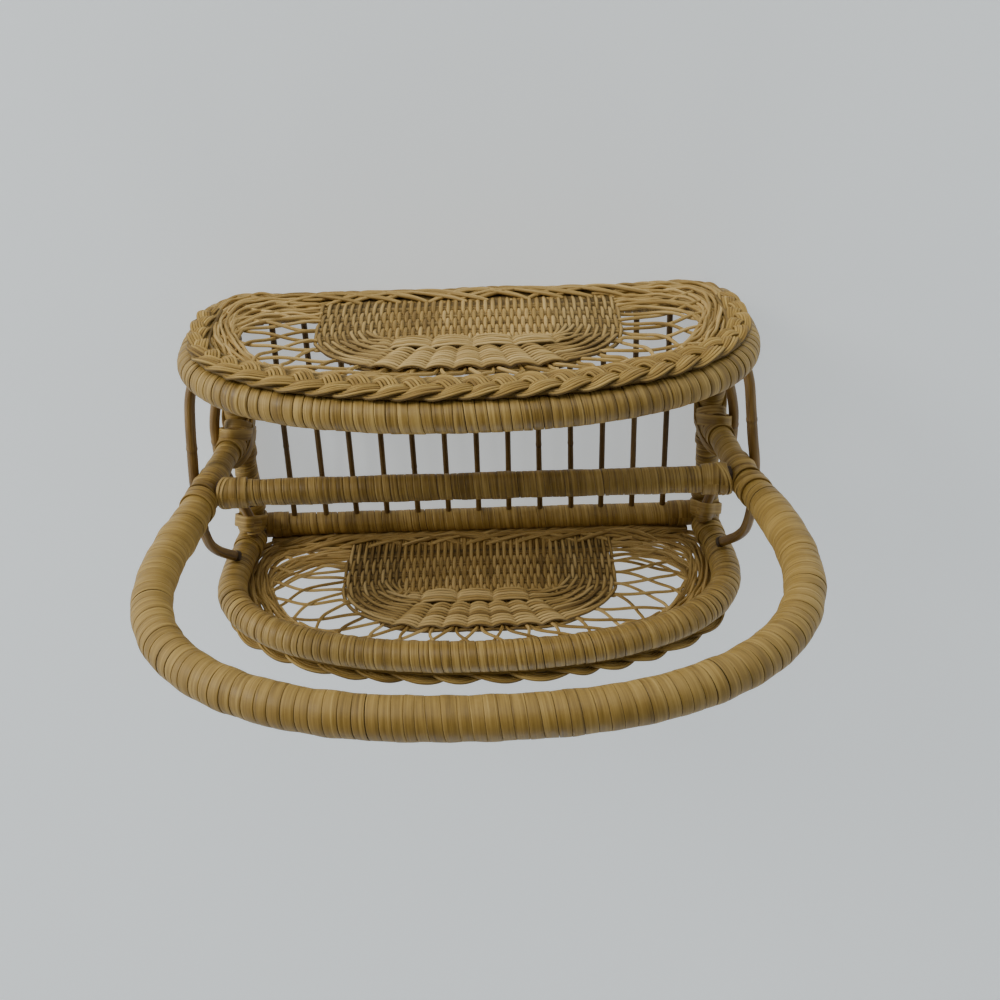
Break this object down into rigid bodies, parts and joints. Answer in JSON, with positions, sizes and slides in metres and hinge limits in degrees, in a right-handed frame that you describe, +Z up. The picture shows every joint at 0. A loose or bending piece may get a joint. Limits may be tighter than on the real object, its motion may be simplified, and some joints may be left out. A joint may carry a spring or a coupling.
{
  "type": "wicker magazine rack",
  "caption": "Free-standing wicker magazine rack: reed-wrapped rattan frame, woven D-shaped sides, slatted bottom, crossbar and hooped carrying handle.",
  "frame": {"origin": "middle of the rack on the floor it stands on: centre of the bounding box's bottom face", "axes": "+Z up through the carrying handle; X runs along the rack, from the left end (-X) to the right end (+X); -Y is the front side, which faces up in the picture, and +Y the rear side"},
  "size_m": [0.4126, 0.2246, 0.3438],
  "materials": {
    "wrapping_reed": "flat peel reed, golden honey brown, satin",
    "rattan_pole": "peeled rattan pole, matt",
    "slat_cane": "thin round cane, satin",
    "bow_cane": "bent round rattan, satin",
    "woven_reed": "round reed weave, matt to satin",
    "braided_reed": "plaited round reed, warmer brown, satin",
    "lashing_reed": "flat reed lashing, satin"
  },
  "bodies": {
    "root": {"front_arch_pole": "rattan_pole", "front_arch_wrap": "wrapping_reed", "rear_arch_pole": "rattan_pole", "rear_arch_wrap": "wrapping_reed", "left_end_pole": "rattan_pole", "left_end_wrap": "wrapping_reed", "right_end_pole": "rattan_pole", "right_end_wrap": "wrapping_reed", "front_base_pole": "rattan_pole", "front_base_wrap": "wrapping_reed", "rear_base_pole": "rattan_pole", "rear_base_wrap": "wrapping_reed", "slat_01": "slat_cane", "slat_02": "slat_cane", "slat_03": "slat_cane", "slat_04": "slat_cane", "slat_05": "slat_cane", "slat_06": "slat_cane", "slat_07": "slat_cane", "slat_08": "slat_cane", "slat_09": "slat_cane", "slat_10": "slat_cane", "slat_11": "slat_cane", "slat_12": "slat_cane", "slat_13": "slat_cane", "handle_pole": "rattan_pole", "handle_wrap": "wrapping_reed", "crossbar_pole": "rattan_pole", "crossbar_wrap": "wrapping_reed", "left_upper_bow": "bow_cane", "left_lower_bow": "bow_cane", "right_upper_bow": "bow_cane", "right_lower_bow": "bow_cane", "front_braid": "braided_reed", "front_border_roll": "braided_reed", "front_mat": "woven_reed", "rear_braid": "braided_reed", "rear_border_roll": "braided_reed", "rear_mat": "woven_reed", "left_foot_lashing": "lashing_reed", "right_foot_lashing": "lashing_reed", "left_crossbar_lashing": "lashing_reed", "right_crossbar_lashing": "lashing_reed", "front_left_corner_lashing": "lashing_reed", "front_right_corner_lashing": "lashing_reed", "rear_left_corner_lashing": "lashing_reed", "rear_right_corner_lashing": "lashing_reed"}
  },
  "joints": []
}
